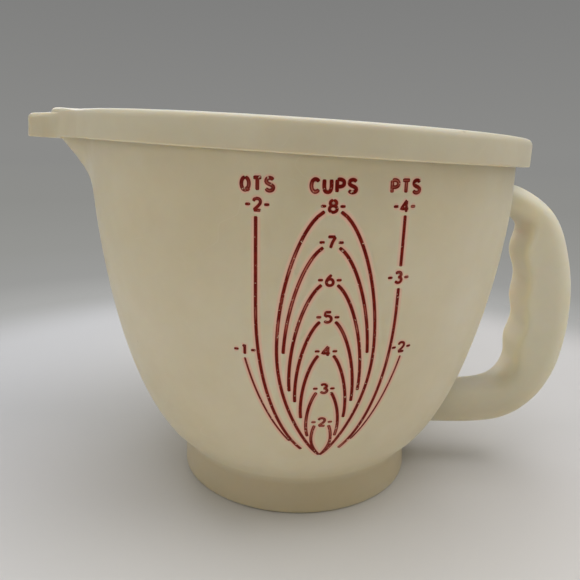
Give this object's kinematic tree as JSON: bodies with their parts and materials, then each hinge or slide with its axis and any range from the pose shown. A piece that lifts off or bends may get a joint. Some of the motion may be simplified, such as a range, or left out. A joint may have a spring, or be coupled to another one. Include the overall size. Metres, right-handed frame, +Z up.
{
  "type": "measuring bowl",
  "caption": "Deep round measuring and mixing bowl on a foot ring, with a pouring spout, a thick loop handle with finger grips and a press-on lid with a tab.",
  "frame": {"origin": "on the surface the foot stands on, under the middle of the whole part's bounding box", "axes": "+X towards the handle, -X towards the spout, -Y towards the side with the printed scale, +Z up"},
  "size_m": [0.2316, 0.1796, 0.154],
  "materials": {
    "bowl": "satin, slightly translucent ivory",
    "handle": "satin ivory",
    "lid": "satin, slightly translucent ivory"
  },
  "bodies": {
    "vessel": {"bowl": "bowl", "handle": "handle"},
    "lid": {"lid": "lid"}
  },
  "joints": [
    {"name": "lid_lift", "type": "slide", "parent": "vessel", "child": "lid", "axis": [0, 0, 1], "range_m": [0, 0.12]}
  ]
}
